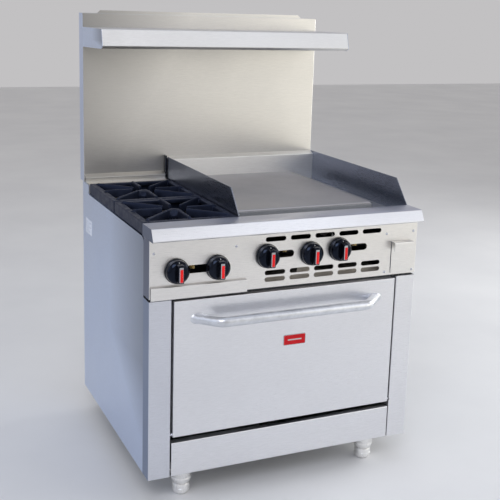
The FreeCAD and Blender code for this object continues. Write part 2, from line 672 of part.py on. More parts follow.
def door_badge():
    """Blank badge plate with a raised rim."""
    x, z = (-19.0, 59.0), (475.0, 510.0)
    plate = box(x, (DOOR_FACE - 2, DOOR_FACE), z)
    field = box((x[0] + 2.5, x[1] - 2.5), (DOOR_FACE - 3, DOOR_FACE - 1.2), (z[0] + 2.5, z[1] - 2.5))
    return plate.cut(field)


def hinge_pin():
    """Left hinge pin on the block that fixes it inside the door."""
    block = box((-DOOR_HALF + GAUGE + 0.2, -358), (DOOR_FACE + GAUGE + 0.2, 20.3),
                (DOOR_BOTTOM + GAUGE + 0.2, DOOR_BOTTOM + 16))
    return fuse(block, rod((-STILE_INNER - 5, HINGE_Y, HINGE_Z), (-365, HINGE_Y, HINGE_Z), HINGE_R))


# ---------------------------------------------------------------- pieces that move
def knob(x, z):
    """Deep skirted knob with a grip bar, moulded on its stem."""
    brim = rod((x, -3, z), (x, -6, z), KNOB_R)
    skirt = cone((x, -6, z), (x, -21, z), KNOB_R - 1, KNOB_R - 2.5)
    shoulder = cone((x, -21, z), (x, -28, z), KNOB_R - 2.5, 26)
    grip = prism([(x - 9.5, z - 29), (x + 9.5, z - 29), (x + 9.5, z + 29), (x - 9.5, z + 29)], "xz", -46, -21,
                 [3, 3, 3, 3])
    grip = grip.common(cone((x, -21, z), (x, -46, z), 32, 27))
    stem = rod((x, -3, z), (x, 36, z), STEM_R)
    return fuse(brim, skirt, shoulder, grip, stem)


def drip_tray():
    """Shallow tray under the open burners with a lipped front."""
    low, high, back = -447.0, -159.0, 620.0
    bottom = 675.0
    floor = box((low, high), (-10.5, back), (bottom, bottom + GAUGE))
    walls = [box((low, low + GAUGE), (6, back), (bottom, 697)),
             box((high - GAUGE, high), (6, back), (bottom, 697)),
             box((low, high), (6, 6 + GAUGE), (bottom, 697)),
             box((low, high), (back - GAUGE, back), (bottom, 697))]
    lip = sheet([(-1, 706), (-12, 706), (-12, 667), (-4, 667)], "yz", -455.5, -151.5)
    return fuse(floor, lip, *walls)


def grease_drawer():
    """Narrow grease box with a flush front and a folded pull."""
    x, z = (364.0, 427.0), (688.5, 772.0)
    y = (-0.6, 400.0)
    outer = box(x, y, z)
    inner = box((x[0] + GAUGE, x[1] - GAUGE), (y[0] + 2.1, y[1] - GAUGE), (z[0] + GAUGE, z[1] + 1))
    front = box((360.5, 434), (-2.1, -0.6), (676, 782))
    pull = sheet([(-0.6, 782), (-24, 782), (-24, 753)], "yz", 358.5, 431)
    return fuse(outer.cut(inner), front, pull)


def grate(x, y):
    """Cast grate: a rim with a deep skirt, and eight fins that point at the burner."""
    bottom, top, fin_top = SIDE_TOP + 1, COOK_TOP - 0.5, COOK_TOP + 6
    rim_wide, skirt_wide = 21.0, 7.0
    outer = prism([(x[0], y[0]), (x[1], y[0]), (x[1], y[1]), (x[0], y[1])], "xy", bottom, top, [4] * 4)
    opening = box((x[0] + rim_wide, x[1] - rim_wide), (y[0] + rim_wide, y[1] - rim_wide), (bottom - 1, top + 1))
    under = box((x[0] + skirt_wide, x[1] - skirt_wide), (y[0] + skirt_wide, y[1] - skirt_wide), (bottom - 1, top - 13))
    frame = outer.cut([opening, under])
    cx, cy = (x[0] + x[1]) / 2, (y[0] + y[1]) / 2
    fins = []
    for step in range(8):
        angle = 45.0 * step
        reach = 141.0 if step % 2 == 0 else 188.0
        section = [(-7.5, top - 20), (7.5, top - 20), (3.5, fin_top), (-3.5, fin_top)]
        fin = prism(section, "yz", 41.0, reach, [1, 1, 2, 2])
        heel = prism([(41, top - 21), (41, fin_top - 14), (54, top - 21)], "xz", -10, 10)
        tail = prism([(reach + 1, fin_top + 1), (reach - 9, fin_top + 1), (reach + 1, fin_top - 6)], "xz", -10, 10)
        fin = fin.cut([heel, tail])
        fin.rotate(V(0, 0, 0), V(0, 0, 1), angle)
        fin.translate(V(cx, cy, 0))
        fins.append(fin)
    inside = box((x[0] + 1, x[1] - 1), (y[0] + 1, y[1] - 1), (bottom, fin_top + 1))
    fins = [fin.common(inside) for fin in fins]
    return fuse(frame, *fins)


# ---------------------------------------------------------------- write the parts
def main():
    os.makedirs("parts", exist_ok=True)
    left_side = side_panel()
    save("side_panel_left", fuse(left_side, side_trim()))
    save("side_panel_right", mirrored(left_side))
    save("back_panel", back_panel())
    save("base_pan", base_pan())
    left_stile = stile()
    save("stile_left", left_stile)
    save("stile_right", mirrored(left_stile))
    bracket = hinge_bracket()
    save("hinge_brackets", bracket, mirrored(bracket))
    save("kick_panel", kick_panel())
    save("control_panel", control_panel())
    save("panel_screws", *panel_screws())
    save("front_ledge", front_ledge())
    save("bay_divider", bay_divider())
    save("bay_rails", *bay_rails())
    save("rear_rail", rear_rail())

    save("griddle_plate", griddle_plate())
    save("griddle_frame", griddle_frame())
    save("splash_guard_left", guard(GUARD_LEFT, 738.0, 738.0))
    save("splash_guard_right", guard(HALF - GUARD_GAUGE, RISER_FRONT - 0.3, BODY_BACK))
    save("splash_back", splash_back())
    save("grease_gutter", grease_gutter())
    save("griddle_burners", *[griddle_burner(x) for x in (KNOBS[2][1], KNOBS[4][1])])

    save("riser_front", riser_front())
    save("riser_back", riser_back())
    save("high_shelf", high_shelf())
    end = shelf_end()
    save("shelf_ends", end, mirrored(end))

    spots = [(side + "_" + row, x, y) for row, y in zip(("front", "rear"), LEG_Y)
             for side, x in (("left", -LEG_X), ("right", LEG_X))]
    save("legs", *[leg(x, y) for spot, x, y in spots])
    for spot, x, y in spots:
        save("foot_" + spot, foot(x, y))

    pipe = gas_pipe()
    save("gas_pipe", pipe)
    burner_valves = [(x, z) for name, x, z in KNOBS if name != "knob_oven"]
    save("gas_valves", *[valve(x, z, pipe) for x, z in burner_valves])
    save("pilot_valves", *[pilot_valve(x, z, pipe) for x, z in ((-310, 747), (-6, 773), (243, 774))])
    oven_x, oven_z = KNOBS[3][1], KNOBS[3][2]
    save("oven_thermostat", thermostat(oven_x, oven_z, pipe))
    save("oven_gas_tube", oven_gas_tube(oven_x, oven_z))
    centres = [((GRATE_X[0] + GRATE_X[1]) / 2, (y[0] + y[1]) / 2) for y in GRATE_SPANS.values()]
    mouths = [KNOBS[1][1], KNOBS[0][1]]
    save("burner_castings", *[burner_casting(x, y, m) for (x, y), m in zip(centres, mouths)])
    save("burner_heads", *[burner_head(x, y) for x, y in centres])
    supplies = [orifice(KNOBS[i][1], KNOBS[i][2], 95, z_end, KNOBS[i][1])
                for i, z_end in ((0, 795), (1, 795), (2, 812), (4, 812))]
    save("orifice_tubes", *supplies)
    save("oven_burner", oven_burner())

    save("oven_liner", oven_liner())
    save("oven_insulation", oven_insulation())
    save("oven_jacket", oven_jacket())
    save("oven_deck", oven_deck())
    guide = rack_guide()
    save("rack_guides", guide, mirrored(guide))
    save("oven_rack", oven_rack())

    save("door_outer", door_outer())
    save("door_inner", door_inner())
    save("door_insulation", door_insulation())
    save("door_handle", door_handle())
    save("door_badge", door_badge())
    pin = hinge_pin()
    save("hinge_pins", pin, mirrored(pin))

    for name, x, z in KNOBS:
        save(name, knob(x, z))
    save("drip_tray", drip_tray())
    save("grease_drawer", grease_drawer())
    for name, y in GRATE_SPANS.items():
        save(name, grate(GRATE_X, y))


main()
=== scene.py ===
"""Looks of the gas range: detailed pieces, procedural materials, soft studio light and the camera."""
import bpy
import bmesh
import json
import math
from mathutils import Matrix, Vector


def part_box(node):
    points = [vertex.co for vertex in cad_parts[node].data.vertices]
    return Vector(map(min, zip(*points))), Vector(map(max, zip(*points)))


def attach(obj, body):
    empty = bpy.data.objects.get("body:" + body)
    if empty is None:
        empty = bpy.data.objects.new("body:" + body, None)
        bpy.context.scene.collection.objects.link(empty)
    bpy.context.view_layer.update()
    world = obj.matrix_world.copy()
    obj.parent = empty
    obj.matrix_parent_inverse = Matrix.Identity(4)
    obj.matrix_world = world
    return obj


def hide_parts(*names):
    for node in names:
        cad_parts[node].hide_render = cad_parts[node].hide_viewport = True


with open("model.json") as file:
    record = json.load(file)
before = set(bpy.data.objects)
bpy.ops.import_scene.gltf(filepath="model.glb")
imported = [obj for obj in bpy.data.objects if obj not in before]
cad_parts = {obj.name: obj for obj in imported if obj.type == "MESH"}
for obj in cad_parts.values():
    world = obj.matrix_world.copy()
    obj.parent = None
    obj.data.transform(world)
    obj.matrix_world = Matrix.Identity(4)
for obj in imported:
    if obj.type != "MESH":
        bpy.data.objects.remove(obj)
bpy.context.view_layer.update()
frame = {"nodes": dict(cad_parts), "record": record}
nodes = frame["nodes"]

MM = 0.001                      # profiles and layers are in millimetres, everything else in metres
DATUM = 9                       # the floor's height in the drawing that part.py follows, in millimetres
UP = Vector((0, 0, 1))


# ---------------------------------------------------------------- materials
class Shader:
    """A Principled material and the few node recipes that the surfaces share."""

    def __init__(self, name, **sockets):
        self.material = bpy.data.materials.new(name)
        self.material.use_nodes = True
        self.tree = self.material.node_tree
        self.bsdf = self.tree.nodes["Principled BSDF"]
        for key, value in sockets.items():
            self.bsdf.inputs[key.replace("_", " ")].default_value = value
        self.place = self.add("ShaderNodeTexCoord").outputs["Object"]

    def add(self, kind, props=None, **inputs):
        """A node. An input is given by its name, or as i and its number."""
        node = self.tree.nodes.new(kind)
        for key, value in (props or {}).items():
            setattr(node, key, value)
        for key, value in inputs.items():
            socket = node.inputs[int(key[1:])] if key[0] == "i" and key[1:].isdigit() else node.inputs[key]
            if isinstance(value, bpy.types.NodeSocket):
                self.tree.links.new(value, socket)
            else:
                socket.default_value = value
        return node

    def noise(self, scale, detail=4.0, stretch=(1, 1, 1), rough=0.55, shift=(0, 0, 0)):
        mapping = self.add("ShaderNodeMapping", Vector=self.place, Scale=stretch, Location=shift)
        return self.add("ShaderNodeTexNoise", Vector=mapping.outputs[0], Scale=scale, Detail=detail,
                        Roughness=rough).outputs["Fac"]

    def spread(self, source, low, high, out_low=0.0, out_high=1.0):
        """Maps low to high onto out_low to out_high, and holds the ends beyond them."""
        node = self.add("ShaderNodeMapRange", Value=source)
        for key, value in (("From Min", low), ("From Max", high), ("To Min", out_low), ("To Max", out_high)):
            node.inputs[key].default_value = value
        return node.outputs[0]

    def math(self, operation, a, b):
        return self.add("ShaderNodeMath", {"operation": operation}, i0=a, i1=b).outputs[0]

    def blend(self, factor, a, b):
        return self.add("ShaderNodeMix", {"data_type": "RGBA"}, i0=factor, i6=a, i7=b).outputs[2]

    def axes(self, vector):
        return self.add("ShaderNodeSeparateXYZ", Vector=vector).outputs

    def normal(self):
        return self.add("ShaderNodeNewGeometry").outputs["Normal"]

    def edges(self, radius=0.0015):
        """1 along the piece's edges, 0 on its faces."""
        soft = self.add("ShaderNodeBevel", {"samples": 4}, Radius=radius).outputs[0]
        near = self.add("ShaderNodeVectorMath", {"operation": "DOT_PRODUCT"}, i0=soft, i1=self.normal())
        return self.spread(near.outputs["Value"], 0.995, 0.90)

    def bump(self, height, strength, distance):
        """Adds a bump on top of those that are there."""
        made = self.add("ShaderNodeBump", Height=height, Strength=strength, Distance=distance)
        if self.bsdf.inputs["Normal"].is_linked:
            self.tree.links.new(self.bsdf.inputs["Normal"].links[0].from_socket, made.inputs["Normal"])
        self.put("Normal", made.outputs[0])

    def put(self, name, source):
        self.tree.links.new(source, self.bsdf.inputs[name])


def colour(r, g, b):
    return (r, g, b, 1.0)


def shade(tint, factor, lift=0.0):
    """A darker or lighter colour of the same kind."""
    return colour(*[min(1.0, c * factor + lift) for c in tint])


def steel(name, tint, rough=0.30, grain=(1, 60, 60), smudge=0.10, metallic=1.0, drawn=0.0, relief=1.0,
          painted_left_shade=None, painted_top_shade=None, painted_shade_patch=None):
    """Brushed sheet: fine lines along the grain, faint hand marks, and slightly brighter edges.

    grain squeezes the noise along x, y and z, so the lines run along the axis that has 1.
    drawn stretches the gloss along the lines, and relief scales the bump.
    flank and crown are the colours of painted shade on the faces that look left and up.
    cloud is a darker patch of painted shade, as cloudy takes it.
    """
    s = Shader(name, Metallic=metallic, Anisotropic=drawn)
    if drawn:
        s.put("Tangent", s.add("ShaderNodeTangent", {"direction_type": "RADIAL", "axis": "Z"}).outputs[0])
    lines = s.noise(42.0, 3.0, grain, 0.7)
    coarse = s.noise(9.0, 3.0, grain, 0.6, (3, 1, 7))
    marks = s.noise(2.6, 5.0, (1, 1, 1), 0.6, (5, 2, 9))
    base = s.blend(s.spread(lines, 0.30, 0.70), shade(tint, 0.86), shade(tint, 1.06))
    base = s.blend(s.spread(marks, 0.45, 0.75, 0.0, smudge), base, shade(tint, 0.72))
    base = s.blend(s.math("MULTIPLY", s.edges(), 0.4), base, colour(0.92, 0.92, 0.93))
    # Painted shade: a darker patch towards one end and the top of the piece.
    if painted_shade_patch:
        base = paint_shade_patch(s, base, tint, **painted_shade_patch)
    # Painted shade: the faces that look left take a darker, bluer colour.
    if painted_left_shade:
        base = s.blend(s.spread(s.axes(s.normal())[0], -0.7, -0.95), base, colour(*painted_left_shade))
    # Painted shade: the faces that look up take a darker colour.
    if painted_top_shade:
        base = s.blend(s.spread(s.axes(s.normal())[2], 0.8, 0.97), base, colour(*painted_top_shade))
    s.put("Base Color", base)
    brushed = s.spread(lines, 0.3, 0.7, rough - 0.05, rough + 0.06)
    s.put("Roughness", s.math("ADD", brushed, s.spread(marks, 0.4, 0.8, 0.0, smudge)))
    s.bump(lines, 0.06 * relief, 0.0004)
    s.bump(coarse, 0.05 * relief, 0.0008)
    return s.material


def paint_shade_patch(s, base, tint, axis, fade, low, high, lift):
    """Painted shade: a darker patch at the low end of an axis of the piece's box and above high, thinner
    towards low.

    fade is how fast it thins along the axis, and lift is how much it has thinned at low.
    """
    spot = s.axes(s.add("ShaderNodeTexCoord").outputs["Generated"])
    clear = s.math("ADD", s.spread(spot[axis], 0.0, 1.0, 0.0, fade), s.spread(spot[2], low, high, lift, 0.0))
    return s.blend(s.spread(clear, 0.0, 1.0, 0.9, 0.0), base, shade(tint, 0.44))


def iron(name, tint, rough):
    """Cast iron under a thin black coat: pitted, worn brighter on its edges."""
    # Painted light: the gloss is tinted blue for the bluish light in the iron's reflections.
    s = Shader(name, Metallic=0.2, Specular_IOR_Level=0.35, Specular_Tint=colour(0.52, 0.62, 1.0))
    sand = s.noise(420.0, 3.0)
    lumps = s.noise(45.0, 4.0, shift=(1, 4, 2))
    base = s.blend(s.spread(lumps, 0.35, 0.7), colour(*tint), shade(tint, 1.9))
    base = s.blend(s.math("MULTIPLY", s.edges(0.0018), 0.5), base, colour(0.08, 0.09, 0.12))
    s.put("Base Color", base)
    s.put("Roughness", s.spread(lumps, 0.3, 0.75, rough - 0.08, rough + 0.14))
    s.bump(sand, 0.28, 0.0006)
    s.bump(lumps, 0.20, 0.0015)
    return s.material


def paint(name, tint, rough=0.35, metallic=0.0, grain=160.0, wear=0.3, coat=0.0, specular=0.5,
          glint=(1.0, 1.0, 1.0)):
    """Painted, enamelled or moulded surface with a faint texture and worn edges. glint tints its gloss."""
    s = Shader(name, Metallic=metallic, Coat_Weight=coat, Specular_IOR_Level=specular,
               Specular_Tint=colour(*glint))
    fine = s.noise(grain, 3.0)
    broad = s.noise(7.0, 4.0, shift=(2, 8, 3))
    base = s.blend(s.spread(broad, 0.35, 0.7), colour(*tint), shade(tint, 1.25, 0.004))
    base = s.blend(s.math("MULTIPLY", s.edges(0.0008), wear), base, shade(tint, 1.6, 0.08))
    s.put("Base Color", base)
    s.put("Roughness", s.spread(fine, 0.3, 0.7, rough - 0.05, rough + 0.07))
    s.bump(fine, 0.10, 0.0003)
    return s.material


FRONT_TO_BACK = (60, 1, 60)
# Each material's recipe and its values. The stainless_ materials are lit and shaded copies of one brushed
# steel: each one's tint is made lighter, darker, bluer or warmer for the light that falls on its parts, as
# painted light and shade.
LOOKS = {
    "stainless_front": (steel, dict(tint=(0.86, 0.862, 0.885), drawn=0.7, relief=0.5)),
    "stainless_ledge": (steel, dict(tint=(0.79, 0.79, 0.805), drawn=0.7, relief=0.5,
                                    painted_left_shade=(0.15, 0.175, 0.25), painted_top_shade=(0.51, 0.525, 0.61))),
    "stainless_stile": (steel, dict(tint=(0.72, 0.735, 0.79), drawn=0.7, relief=0.5,
                                    painted_left_shade=(0.25, 0.30, 0.42))),
    "stainless_panel": (steel, dict(tint=(0.88, 0.86, 0.83), drawn=0.7, relief=0.6,
                                    painted_left_shade=(0.16, 0.18, 0.25))),
    "stainless_lip": (steel, dict(tint=(0.88, 0.865, 0.84), drawn=0.7, relief=0.6,
                                  painted_left_shade=(0.16, 0.18, 0.25), painted_top_shade=(0.57, 0.555, 0.545))),
    "stainless_warm": (steel, dict(tint=(0.76, 0.735, 0.68), rough=0.33, drawn=0.6, relief=0.3)),
    # Painted shade: the riser grows darker towards its left and top, and its left-facing faces are tinted
    # bluer.
    "stainless_riser": (steel, dict(tint=(0.75, 0.725, 0.68), rough=0.40, drawn=0.5, relief=0.3,
                                    painted_left_shade=(0.60, 0.66, 0.80),
                                    painted_shade_patch=dict(axis=0, fade=2.2, low=0.0, high=1.0, lift=0.8))),
    "stainless_shelf": (steel, dict(tint=(0.72, 0.71, 0.69), rough=0.33, drawn=0.6, relief=0.4,
                                    painted_left_shade=(0.62, 0.66, 0.78), painted_top_shade=(0.56, 0.55, 0.55))),
    "stainless_splash": (steel, dict(tint=(0.97, 0.94, 0.90), rough=0.42, relief=0.5)),
    # Painted light and shade: the left side is tinted blue for the bluish light on it, and grows darker
    # towards its front top.
    "stainless_side": (steel, dict(tint=(0.64, 0.72, 0.89), rough=0.34, grain=FRONT_TO_BACK, drawn=0.5,
                                   painted_shade_patch=dict(axis=1, fade=2.0, low=0.1, high=0.45, lift=1.0))),
    "stainless_right": (steel, dict(tint=(0.50, 0.53, 0.58), rough=0.38, grain=FRONT_TO_BACK, drawn=0.5)),
    # Painted shade: the splash guards' steel is tinted dark for the dark reflections that fall on it.
    "stainless_guard": (steel, dict(tint=(0.25, 0.275, 0.35), rough=0.27, grain=FRONT_TO_BACK, smudge=0.08)),
    "sheet_inner": (steel, dict(tint=(0.50, 0.51, 0.53), rough=0.42, grain=(8, 8, 8), smudge=0.2)),
    "galvanised": (steel, dict(tint=(0.62, 0.58, 0.53), rough=0.45, grain=(12, 12, 12), smudge=0.3)),
    "dull_zinc": (paint, dict(tint=(0.44, 0.40, 0.35), rough=0.6, metallic=0.2, grain=60.0)),
    # Painted shade: a nearly black sheet for the shaded inside of the burner bay.
    "dark_sheet": (paint, dict(tint=(0.018, 0.019, 0.022), rough=0.5, metallic=0.3)),
    "griddle_steel": (steel, dict(tint=(0.43, 0.42, 0.435), rough=0.44, grain=FRONT_TO_BACK, smudge=0.25,
                                  relief=0.5)),
    "cast_iron": (iron, dict(tint=(0.007, 0.009, 0.017), rough=0.42)),
    "burner_tube": (steel, dict(tint=(0.14, 0.13, 0.125), rough=0.5, grain=(6, 6, 6), smudge=0.3)),
    "screw_steel": (steel, dict(tint=(0.60, 0.62, 0.68), rough=0.20, grain=(10, 10, 10))),
    "handle_steel": (steel, dict(tint=(0.74, 0.755, 0.79), rough=0.34, grain=(1, 1, 1), smudge=0.05,
                                 relief=0.0)),
    "trim_grey": (steel, dict(tint=(0.50, 0.50, 0.52), rough=0.22, grain=(20, 20, 20))),
    "stripe_red": (paint, dict(tint=(0.74, 0.008, 0.010), rough=0.45, wear=0.1, specular=0.2)),
    "badge_red": (paint, dict(tint=(0.56, 0.004, 0.010), rough=0.40, wear=0.1, specular=0.25)),
    "mark_white": (paint, dict(tint=(0.50, 0.50, 0.49), rough=0.4)),
    "label_paper": (paint, dict(tint=(0.66, 0.70, 0.78), rough=0.5, grain=500.0, wear=0.1)),
    "wool": (paint, dict(tint=(0.60, 0.52, 0.32), rough=0.9, grain=900.0)),
    "enamel": (paint, dict(tint=(0.030, 0.034, 0.042), rough=0.24, coat=0.3)),
    "rack_wire": (steel, dict(tint=(0.70, 0.70, 0.71), rough=0.24, grain=(10, 10, 10))),
    "leg_metal": (steel, dict(tint=(0.98, 0.965, 0.94), rough=0.27, grain=(30, 30, 1), smudge=0.03,
                              metallic=0.9)),
    "pipe_black": (paint, dict(tint=(0.03, 0.03, 0.032), rough=0.5, metallic=0.4)),
    "brass": (steel, dict(tint=(0.98, 0.72, 0.26), rough=0.34, grain=(30, 1, 30), smudge=0.2)),
    "aluminium_tube": (steel, dict(tint=(0.76, 0.77, 0.78), rough=0.35, grain=(20, 20, 20))),
    # Painted light: the knobs' gloss is tinted blue for the bluish light in their reflections.
    "knob_black": (paint, dict(tint=(0.002, 0.0022, 0.004), rough=0.07, wear=0.02, specular=0.26,
                               glint=(0.50, 0.64, 1.0))),
}
MATERIALS = {name: make(name, **look) for name, (make, look) in LOOKS.items()}

# CAD nodes whose material isn't the one named by their material slot: real finishes (galvanised, dull_zinc),
# lit and shaded copies of stainless steel that carry painted light and shade, and dark_sheet, a nearly black
# sheet that is painted shade.
FINISH_AND_PAINTED_LIGHT = {
    "front_ledge": "stainless_ledge", "stile_left": "stainless_stile", "control_panel": "stainless_panel",
    "grease_drawer": "stainless_lip", "drip_tray": "stainless_lip", "riser_front": "stainless_riser",
    "high_shelf": "stainless_shelf", "rear_rail": "stainless_warm", "splash_back": "stainless_splash",
    "splash_guard_left": "stainless_guard", "splash_guard_right": "stainless_guard",
    "bay_rails": "dark_sheet", "bay_divider": "dark_sheet", "oven_jacket": "dull_zinc",
    "side_panel_right": "stainless_right", "back_panel": "galvanised", "riser_back": "galvanised",
}
CAST = ("grate_front", "grate_rear")
PIERCED = ("control_panel", "riser_back", "back_panel")     # a bevel leaves streaks between their holes
WELD_DISTANCE, CAST_VOXEL, EDGE_WIDTH = 0.00001, 0.002, 0.0004


def dress(name, node, slot):
    """Gives a CAD node its material, which on some nodes carries painted light and shade, and softens its
    sharp edges.
    """
    node.data.materials.clear()
    node.data.materials.append(MATERIALS[FINISH_AND_PAINTED_LIGHT.get(name, slot)])
    weld = node.modifiers.new("weld", "WELD")
    weld.merge_threshold = WELD_DISTANCE
    if name in CAST:
        sand = node.modifiers.new("sand_cast", "REMESH")
        sand.mode = "VOXEL"
        sand.voxel_size = CAST_VOXEL
        sand.use_smooth_shade = True
        worn = node.modifiers.new("worn", "SMOOTH")
        worn.factor = 0.5
        worn.iterations = 3
        return
    if name in PIERCED:
        return
    bevel = node.modifiers.new("edges", "BEVEL")
    bevel.width = EDGE_WIDTH
    bevel.segments = 2
    bevel.limit_method = "ANGLE"
    bevel.angle_limit = math.radians(35)
    node.data.shade_smooth()
    smooth = node.modifiers.new("normals", "WEIGHTED_NORMAL")
    smooth.keep_sharp = True


slot_of = {row["node"]: row["material_slot"] for row in frame["record"]["subparts"]}
for name, node in nodes.items():
    dress(name, node, slot_of[name])


# ---------------------------------------------------------------- shapes
def low_corner(node):
    return Vector(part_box(node)[0])


def high_corner(node):
    return Vector(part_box(node)[1])


def middle(node):
    return (low_corner(node) + high_corner(node)) / 2


def piece(name, bm, finish, slot, body, stands_for=(), angle=30):
    """Turns a finished bmesh into a named piece that rides on a body. angle is where its edges turn sharp."""
    bmesh.ops.remove_doubles(bm, verts=bm.verts, dist=0.000005)
    bmesh.ops.recalc_face_normals(bm, faces=bm.faces)
    mesh = bpy.data.meshes.new(name)
    bm.to_mesh(mesh)
    bm.free()
    obj = bpy.data.objects.new(name, mesh)
    bpy.context.scene.collection.objects.link(obj)
    mesh.materials.append(MATERIALS[finish])
    mesh.shade_smooth()
    mesh.set_sharp_from_angle(angle=math.radians(angle))
    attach(obj, body)
    if stands_for:
        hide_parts(*stands_for)


def bridge(bm, low, high):
    """Faces between two rings, either of which may be a single point."""
    count = max(len(low), len(high))
    for k in range(count):
        after = (k + 1) % count
        if len(low) == 1:
            bm.faces.new((low[0], high[after], high[k]))
        elif len(high) == 1:
            bm.faces.new((low[k], low[after], high[0]))
        else:
            bm.faces.new((low[k], low[after], high[after], high[k]))


def skin(bm, rings, capped=False):
    """Faces along a row of rings. capped also closes its two ends."""
    for low, high in zip(rings, rings[1:]):
        bridge(bm, low, high)
    if capped:
        bm.faces.new(list(reversed(rings[0])))
        bm.faces.new(rings[-1])


def lathe(bm, profile, place, segments, reshape=None):
    """A turned shape from (radius, height) pairs. reshape may move each point, given it and its step."""
    rings = []
    for radius, height in profile:
        steps = segments if radius > 0 else 1
        ring = []
        for k in range(steps):
            angle = 2 * math.pi * k / steps
            point = Vector((radius * math.cos(angle), radius * math.sin(angle), height))
            if reshape:
                point = reshape(point, k)
            ring.append(bm.verts.new(place @ (point * MM)))
        rings.append(ring)
    skin(bm, rings)


def outline(half_x, half_y, radius, steps=6):
    """Points of a rounded rectangle about the origin, anticlockwise."""
    points = []
    for quarter, (sx, sy) in enumerate(((1, 1), (-1, 1), (-1, -1), (1, -1))):
        for k in range(steps + 1):
            angle = math.pi / 2 * (quarter + k / steps)
            points.append((sx * (half_x - radius) + radius * math.cos(angle),
                           sy * (half_y - radius) + radius * math.sin(angle)))
    return points


def stack(bm, layers, place):
    """A solid through rounded rectangles: each layer is (half_x, half_y, corner radius, height)."""
    rings = []
    for half_x, half_y, radius, height in layers:
        corners = outline(half_x, half_y, radius)
        rings.append([bm.verts.new(place @ (Vector((x, y, height)) * MM)) for x, y in corners])
    skin(bm, rings, capped=True)


def block(name, layers, place, *looks, angle=30):
    """A piece made of one stack. looks are piece's finish, slot (not used), body and stands_for."""
    bm = bmesh.new()
    stack(bm, layers, place)
    piece(name, bm, *looks, angle=angle)


def facing(x, y, z):
    """Local frame at a point with +Z pointing out of the front and +Y up."""
    return Matrix.Translation((x, y, z)) @ Matrix.Rotation(math.radians(90), 4, "X")


def facing_back(x, y, z):
    """Local frame at a point with +Z pointing out of the back and +Y down."""
    return Matrix.Translation((x, y, z)) @ Matrix.Rotation(math.radians(-90), 4, "X")


# ---------------------------------------------------------------- knobs
KNOB_LENGTH = 0.043
KNOB_SKIRT = [(0, 0.6), (33.0, 0.6), (36.6, 0.0), (37.3, 0.4), (37.5, 1.2), (37.4, 2.4), (36.9, 3.1),
              (36.3, 3.5), (36.0, 4.4), (35.7, 8.0), (35.2, 12.5), (34.9, 15.6), (34.4, 17.4),
              (33.2, 19.0), (31.4, 20.8), (28.6, 23.1), (27.0, 24.2), (25.6, 24.8), (24.0, 25.0),
              (16.0, 25.0), (0, 25.0)]
KNOB_GRIP = [(9.6, 28.6, 4.0, 18.0), (9.5, 28.4, 4.0, 24.0), (9.2, 27.8, 4.0, 36.0),
             (9.0, 27.3, 3.8, 40.4), (8.7, 26.9, 3.5, 41.8), (8.1, 26.2, 3.2, 42.6),
             (7.3, 25.3, 2.8, 42.9)]
KNOB_FRAME = [(5.9, 22.6, 1.4, 42.4), (5.9, 22.6, 1.4, 43.05), (5.6, 22.3, 1.2, 43.25),
              (4.6, 21.2, 0.8, 43.25)]
KNOB_STRIPE = [(4.4, 19.2, 0.7, 42.8), (4.4, 19.2, 0.7, 43.4), (4.0, 18.8, 0.5, 43.6)]
KNOB_TICK = [(0.9, 2.0, 0.4, -0.5), (0.9, 2.0, 0.4, 0.5), (0.7, 1.8, 0.3, 0.7)]
FRAME_AT = Matrix.Translation((-0.4 * MM, -1.2 * MM, 0))
STRIPE_AT = Matrix.Translation((0.6 * MM, -3.6 * MM, 0))
TICK_AT = Matrix.Translation((0, 30.4 * MM, 21.9 * MM)) @ Matrix.Rotation(math.radians(-40), 4, "X")


def knob(node):
    """Deep skirted knob: turned skirt, grip bar, bright frame with a red stripe, and a pointer tick."""
    centre = middle(node)
    place = facing(centre.x, low_corner(node).y + KNOB_LENGTH, centre.z)
    bm = bmesh.new()
    lathe(bm, KNOB_SKIRT, place, 96)
    stack(bm, KNOB_GRIP, place)
    piece(node + "_shell", bm, "knob_black", "knob_black", node, (node,), 50)
    block(node + "_frame", KNOB_FRAME, place @ FRAME_AT, "trim_grey", "handle_steel", node)
    block(node + "_stripe", KNOB_STRIPE, place @ STRIPE_AT, "stripe_red", "badge_red", node)
    block(node + "_tick", KNOB_TICK, place @ TICK_AT, "mark_white", "handle_steel", node)


for knob_name in [name for name in nodes if name.startswith("knob_")]:
    knob(knob_name)


# ---------------------------------------------------------------- screws
SCREW = [(0, 1.15), (0.5, 1.15), (1.0, 1.2), (1.5, 1.3), (1.9, 1.5), (2.2, 2.05), (2.6, 2.0), (3.2, 1.8),
         (3.8, 1.35), (4.15, 0.7), (4.25, 0.0), (0, 0)]
RECESS_REACH, RECESS_HALF_ARM, SCREW_FACE = (0.4, 2.1), 0.42, 2.1
PANEL_SPOTS = ((-443, 807), (-185, 809), (340.5, 808), (339, 681.5), (441.5, 811), (443, 681.5))


def cross_recess(point, _step):
    """Lifts the metal between the arms of a cross recess."""
    inner, outer = RECESS_REACH
    off_arm = min(abs(point.x), abs(point.y)) > RECESS_HALF_ARM
    if off_arm and inner < math.hypot(point.x, point.y) < outer:
        return Vector((point.x, point.y, SCREW_FACE))
    return point


def screws(name, places, stands_for=()):
    bm = bmesh.new()
    for place in places:
        lathe(bm, SCREW, place, 48, cross_recess)
    piece(name, bm, "screw_steel", "screw_steel", "cabinet", stands_for, 35)


